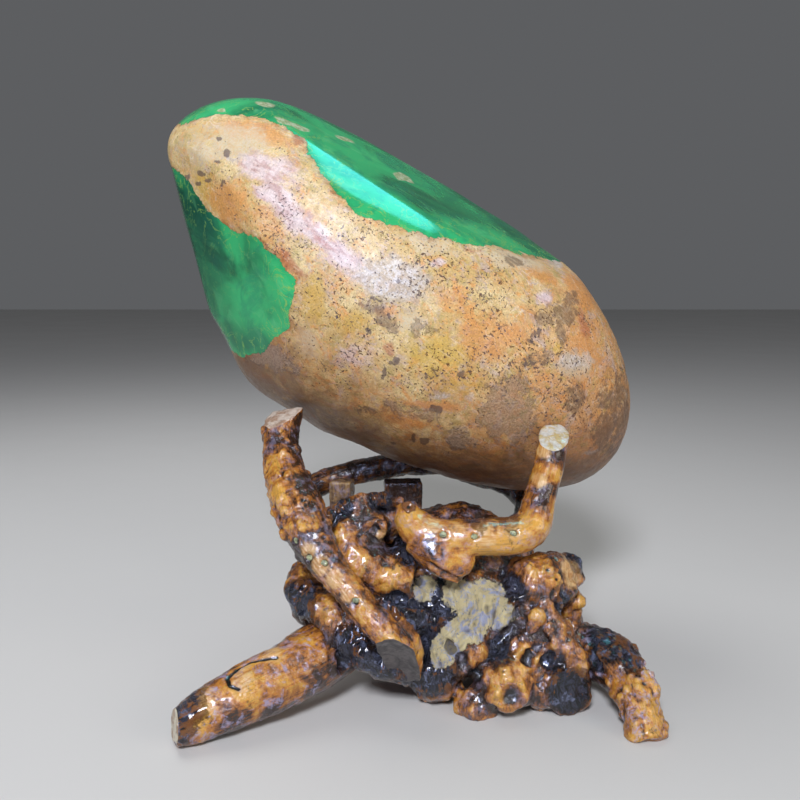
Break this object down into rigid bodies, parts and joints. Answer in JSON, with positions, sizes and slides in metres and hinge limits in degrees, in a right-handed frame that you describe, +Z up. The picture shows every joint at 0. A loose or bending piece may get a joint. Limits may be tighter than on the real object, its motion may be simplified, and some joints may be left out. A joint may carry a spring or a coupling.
{
  "type": "raw jade boulder on a root wood stand",
  "caption": "Oval jade boulder with a tan weathered crust and ground, polished green windows, leaning on a gnarled root wood stand with prongs.",
  "frame": {"origin": "on the table, under the middle of the bounding box", "axes": "+Z up, +X to the right and +Y away from whoever faces the front, which is the side with the two prongs"},
  "size_m": [0.2207, 0.1838, 0.2565],
  "materials": {
    "crust": "tan and ochre weathered crust, dull to waxy",
    "jade": "ground and polished green jade, glossy and slightly translucent",
    "golden_wood": "stripped root wood under a glossy clear lacquer",
    "burl_wood": "knotted burl with dark crevices under a glossy clear lacquer",
    "dark_wood": "dark lacquered wood",
    "pale_wood": "bare sawn wood",
    "filler": "pale hardened filler"
  },
  "bodies": {
    "root": {"jade_boulder": "crust", "burl": "burl_wood", "left_leg": "golden_wood", "right_leg": "golden_wood", "rear_left_leg": "golden_wood", "rear_right_leg": "golden_wood", "left_prong": "golden_wood", "right_prong": "golden_wood", "rear_rail": "dark_wood", "square_block": "dark_wood", "wedge_block": "pale_wood", "left_prong_plug_1": "filler", "left_prong_plug_2": "filler", "left_prong_plug_3": "filler", "left_prong_plug_4": "filler", "right_prong_plug_1": "filler", "right_prong_plug_2": "filler", "right_prong_plug_3": "filler"}
  },
  "joints": []
}
